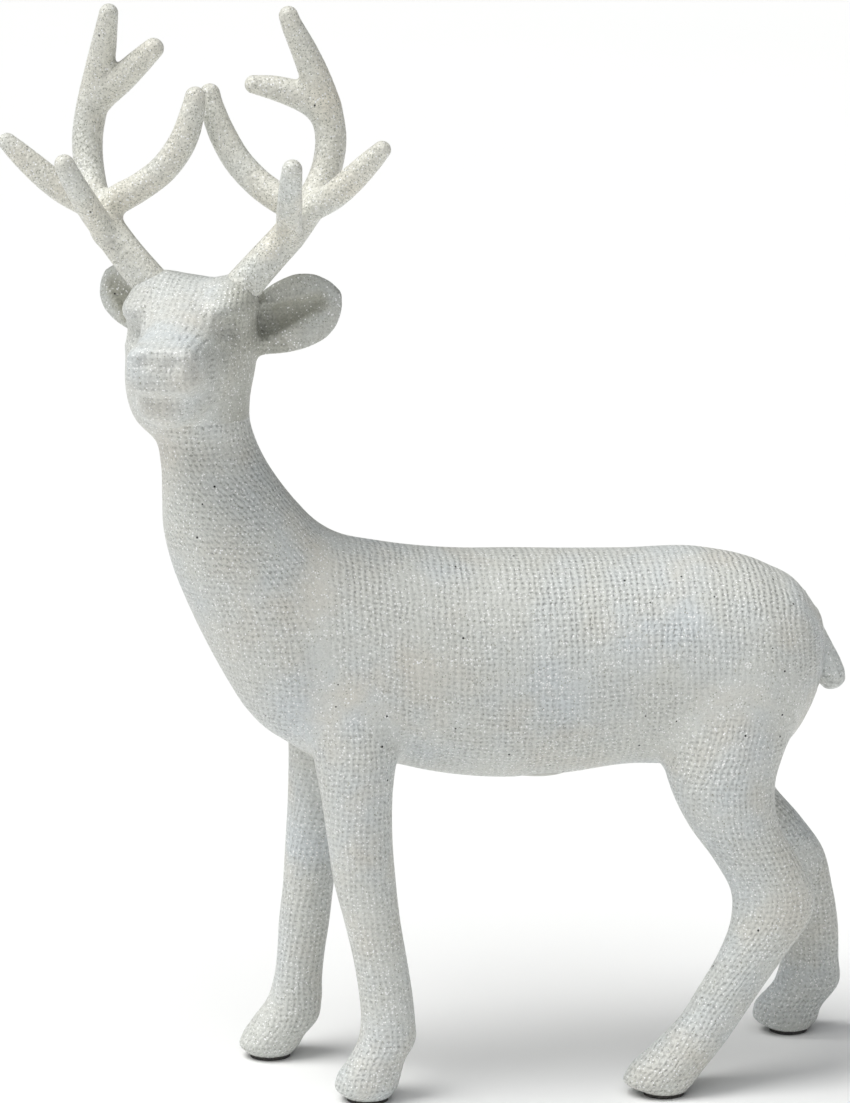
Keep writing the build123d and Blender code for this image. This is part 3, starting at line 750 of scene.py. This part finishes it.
def finish_colour(tree, where, colour, flake, spread, pepper):
    """Flake-to-flake brightness, then grey grains, white grains that are partly painted glints, black and
    red grains; pepper is the share of grey.
    """
    shade = ramp(tree, flake, 0, 1, 1 - spread, 1 + spread)
    colour = mix(tree, 1.0, colour, shade, "MULTIPLY")
    colour = mix(tree, specks(tree, where, 1900.0, GREY_GRAIN, pepper), colour, (0.38, 0.385, 0.33, 1))
    # white glitter grains, partly painted glints that stand in for sparkles
    colour = mix(tree, specks(tree, where, 1300.0, WHITE_GRAIN_AND_GLINT, 0.26), colour, (1.0, 1.0, 1.0, 1))
    colour = mix(tree, specks(tree, where, 190.0, BLACK_GRAIN, 0.26), colour, (0.02, 0.02, 0.02, 1))
    return mix(tree, specks(tree, where, 70.0, RED_GRAIN, 0.03), colour, (0.45, 0.02, 0.03, 1))


def knit_resin():
    material, tree, where = start_material("knit_resin", 0.5, Coat_Weight=0.12, Coat_Roughness=0.25)
    height, hole = knit_height(tree, where)
    shade_and_coarse = node(tree, "Attribute", attribute_name="painted_shade_and_coarse_glitter").outputs["Fac"]
    grit = noise(tree, where, 1500.0, 2.0).outputs[0]
    bumps = calc(tree, "MULTIPLY_ADD", grit, 0.45, height)
    normal, flake = glitter(tree, where, relief(tree, bumps, KNIT_DEPTH), KNIT_FLAKE, 0.55)
    colour = mottled(tree, where, (0.68, 0.69, 0.655, 1), (0.655, 0.69, 0.70, 1), (0.69, 0.675, 0.62, 1))
    # painted shade: towards this darker grey-green where the mask is high, on the head's shaded left side
    # and in the ear grooves
    colour = mix(tree, shade_and_coarse, colour, (0.47, 0.47, 0.41, 1))
    # painted shade: the colour darkens to 0.8 in the stitch holes, where shade falls
    shade = ramp(tree, hole, 0, 1, 1.0, 0.80)
    colour = mix(tree, 1.0, colour, shade, "MULTIPLY")
    pepper = ramp(tree, shade_and_coarse, 0, 1, 0.05, 0.40)
    colour = finish_colour(tree, where, colour, flake, 0.13, pepper)
    return finish_material(material, colour, normal)


def antler_resin():
    material, tree, where = start_material("antler_resin", 0.48, Coat_Weight=0.15, Coat_Roughness=0.25)
    pebbles = node(tree, "TexVoronoi", {"Vector": where, "Scale": 900.0}).outputs["Distance"]
    grit = noise(tree, where, 1500.0, 2.0).outputs[0]
    bumps = calc(tree, "MULTIPLY_ADD", grit, 0.5, pebbles)
    normal = relief(tree, bumps, PEBBLE_DEPTH, invert=True)
    normal, flake = glitter(tree, where, normal, ANTLER_FLAKE, 0.50)
    colour = mottled(tree, where, (0.75, 0.74, 0.67, 1), (0.72, 0.74, 0.71, 1), (0.76, 0.73, 0.64, 1))
    colour = finish_colour(tree, where, colour, flake, 0.18, 0.26)
    return finish_material(material, colour, normal)


def plug_resin():
    material, tree, where = start_material("plug_resin", 0.6)
    grit = noise(tree, where, 700.0, 4.0).outputs[0]
    colour = mottled(tree, where, (0.76, 0.76, 0.72, 1), (0.70, 0.74, 0.76, 1), (0.78, 0.74, 0.66, 1))
    return finish_material(material, colour, relief(tree, grit, 0.00015))


def bright_steel():
    material, tree, where = start_material("bright_steel", 0.3, Metallic=1.0)
    drawn = node(tree, "Mapping", {"Vector": where, "Scale": (1.0, 1.0, 0.08)}).outputs[0]
    streaks = noise(tree, drawn, 2600.0, 3.0).outputs[0]
    shade = ramp(tree, noise(tree, where, 220.0, 3.0).outputs[0], 0.3, 0.7)
    colour = mix(tree, shade, (0.50, 0.50, 0.51, 1), (0.68, 0.68, 0.67, 1))
    shader = tree.nodes["Principled BSDF"]
    tree.links.new(ramp(tree, streaks, 0.3, 0.7, 0.22, 0.42), shader.inputs["Roughness"])
    return finish_material(material, colour, relief(tree, streaks, 0.00003))


def sleeve_plastic():
    material, tree, where = start_material("sleeve_plastic", 0.42)
    grain = noise(tree, where, 900.0, 3.0).outputs[0]
    colour = mix(tree, ramp(tree, grain, 0.3, 0.7), (0.66, 0.66, 0.62, 1), (0.76, 0.75, 0.70, 1))
    return finish_material(material, colour, relief(tree, grain, 0.00004))


def pad_rubber():
    material, tree, where = start_material("pad_rubber", 0.8)
    grain = noise(tree, where, 1400.0, 4.0).outputs[0]
    colour = mix(tree, ramp(tree, grain, 0.35, 0.65), (0.045, 0.043, 0.040, 1), (0.10, 0.095, 0.088, 1))
    return finish_material(material, colour, relief(tree, grain, 0.00012))


KNIT, HORN = knit_resin(), antler_resin()


# ------------------------------------------------------------------ pieces
def dress(piece, material, body, node_name):
    piece.data.materials.clear()
    piece.data.materials.append(material)
    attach(piece, body)
    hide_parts(node_name)


def make_trunk():
    piece = skin("trunk_skin", trunk, *TRUNK_BOX, TRUNK_STEP)
    trim_flat(piece, (0, 0, LEG_JOINT_Z), (0, 0, -1))
    trim_flat(piece, (0, 0, NECK_JOINT_Z), (0, 0, 1))
    plug_low, plug_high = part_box("belly_plug")
    hole, below = (plug_high.x - plug_low.x) / 2 / MM + GLUE, 20
    top = (0, PLUG_Y, plug_high.z / MM)
    drill(piece, turned("plug_recess", [(hole, -below), (hole, 0)], top, (0, 0, 1)))
    gaps = [barrel, neck] + [lambda p, rows=rows: level_tube(p, rows) for rows in LEGS.values()]
    knit_map(piece, [along_barrel, along_leg(NECK)] + [along_leg(rows) for rows in LEGS.values()], gaps)
    dress(piece, KNIT, "figure", "body_shell")


def make_leg(name, rows):
    free = [row for row in rows if row[0] <= LEG_JOINT_Z + LEG_MARGIN]
    middle = rows[5][1]
    low = (middle - LEG_REACH, min(row[2] for row in free) - LEG_MARGIN, -2)
    high = (middle + LEG_REACH, max(row[3] for row in free) + LEG_MARGIN, LEG_JOINT_Z + LEG_MARGIN)
    piece = skin(name + "_skin", lambda p: np.maximum(leg(p, name), -p[:, 2]), low, high, LEG_STEP)
    trim_flat(piece, (0, 0, LEG_JOINT_Z), (0, 0, 1))
    trim_flat(piece, (0, 0, SOLE_Z), (0, 0, -1))
    knit_map(piece, [along_leg(rows)], [lambda p: level_tube(p, rows)])
    dress(piece, KNIT, "figure", name)


def ear_cut(name):
    """The plane where an ear leaves the head casting."""
    root, length, run, _, _ = ear_axes(name)
    return root + EAR_CUT_SHARE * length * run, run


def make_head():
    piece = skin("head_skin", head, *HEAD_BOX, HEAD_STEP)
    trim_flat(piece, (0, 0, NECK_JOINT_Z), (0, 0, -1))
    for name in EARS:
        trim_flat(piece, *ear_cut(name))
    for side in (1, -1):
        at, out = seat(side)
        profile = [(BORE_R, -BORE_DEPTH), (BORE_R, 0), (SPOT_R, 0), (SPOT_R, SPOT_CLEAR)]
        drill(piece, turned("seat_cutter", profile, at, out))
    knit_map(piece, [along_head, along_leg(NECK)], [lambda p: head(p) - 1.0, neck], HEAD_KNIT, cheek_shade_and_grain)
    dress(piece, KNIT, "figure", "head")


def make_ear(name):
    root, length, run, _, _ = ear_axes(name)
    tip = root + length * run
    low, high = np.minimum(root, tip) - EAR_MARGIN, np.maximum(root, tip) + EAR_MARGIN
    piece = skin(f"ear_{name}_skin", head, low, high, EAR_STEP)
    at, out = ear_cut(name)
    trim_flat(piece, at, -out)
    knit_map(piece, [along_head], [head], EAR_KNIT, ear_shade_and_grain)
    dress(piece, KNIT, "figure", f"ear_{name}")


def make_tail():
    piece = skin("tail_skin", tail, *TAIL_BOX, TAIL_STEP)
    knit_map(piece, [lambda p: (p[:, 0] / WALE, p[:, 2] / COURSE)], [tail])
    dress(piece, KNIT, "figure", "tail")


def make_antler(name):
    side = 1 if name == "left" else -1
    corners = [
        from_head(fore, side * left, up)
        for fore in ANTLER_FORES for left in ANTLER_LEFTS for up in ANTLER_UPS
    ]
    low, high = np.min(corners, axis=0), np.max(corners, axis=0)
    piece = skin(f"antler_{name}_skin", lambda p: antler(p, name), low, high, ANTLER_STEP)
    at, out = seat(side)
    trim_flat(piece, at + SEAT_GAP * out, -out)
    dress(piece, HORN, f"{name}_antler", f"antler_{name}")


make_trunk()
for leg_name, leg_rows in LEGS.items():
    make_leg(leg_name, leg_rows)
make_head()
make_tail()
for ear_name in EARS:
    make_ear(ear_name)
    make_antler(ear_name)


def dress_cad_nodes():
    """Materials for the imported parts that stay: pins, rods, sleeves, pads and the belly plug."""
    by_end = {"_pin": bright_steel(), "_rod": bright_steel(), "_pad": pad_rubber()}
    by_start = {"socket_sleeve": sleeve_plastic(), "belly_plug": plug_resin()}
    for name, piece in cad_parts.items():
        chosen = [by_end[end] for end in by_end if name.endswith(end)]
        chosen += [by_start[start] for start in by_start if name.startswith(start)]
        if chosen:
            for place_in in piece.material_slots:
                place_in.material = chosen[0]


dress_cad_nodes()


# ------------------------------------------------------------------ floor, light and camera
FLOOR_HALF = 15.0       # metres, so that the floor fills the view behind the figure


def make_floor():
    bm = bmesh.new()
    bmesh.ops.create_grid(bm, x_segments=8, y_segments=8, size=FLOOR_HALF)
    mesh = bpy.data.meshes.new("floor")
    bm.to_mesh(mesh)
    bm.free()
    floor = bpy.data.objects.new("floor", mesh)
    bpy.context.collection.objects.link(floor)
    material, tree, where = start_material("floor_paper", 0.9)
    shade = ramp(tree, noise(tree, where, 0.6, 2.0).outputs[0], 0.3, 0.7)
    colour = mix(tree, shade, (0.955, 0.955, 0.955, 1), (0.965, 0.965, 0.965, 1))
    tree.links.new(colour, tree.nodes["Principled BSDF"].inputs["Base Color"])
    mesh.materials.append(material)


def sun(name, position, strength, softness, colour):
    """A distant light, softness degrees wide, that shines from a position towards the figure."""
    data = bpy.data.lights.new(name, "SUN")
    data.energy, data.angle, data.color = strength, radians(softness), colour
    lamp = bpy.data.objects.new(name, data)
    lamp.rotation_euler = Vector(position).to_track_quat("Z", "Y").to_euler()
    bpy.context.collection.objects.link(lamp)


def make_light():
    world = bpy.data.worlds.new("studio")
    world.use_nodes = True
    background = world.node_tree.nodes["Background"]
    background.inputs["Color"].default_value = (0.96, 0.98, 1.0, 1)
    background.inputs["Strength"].default_value = 0.12
    bpy.context.scene.world = world
    sun("key", (0.12, -0.75, 1.4), strength=2.45, softness=42, colour=(1.0, 1.0, 0.98))
    sun("side", (0.4, -0.05, 1.0), strength=1.0, softness=60, colour=(0.98, 0.99, 1.0))
    bpy.context.scene.view_settings.view_transform = "Standard"


def make_camera():
    """Looks at the figure's left side, from a little forward of square on and a little above."""
    azimuth, elevation, distance = radians(83), radians(12), 1150.0
    back = np.array([sin(azimuth) * cos(elevation), -cos(azimuth) * cos(elevation), sin(elevation)])
    target = np.array([0.0, 0.0, 170.0])
    data = bpy.data.cameras.new("camera")
    data.lens, data.sensor_width = 121.1, 36.0
    camera = bpy.data.objects.new("camera", data)
    camera.location = place(target + distance * back)
    camera.rotation_euler = Vector(back).to_track_quat("Z", "Y").to_euler()
    bpy.context.collection.objects.link(camera)
    bpy.context.scene.camera = camera


make_floor()
make_light()
make_camera()
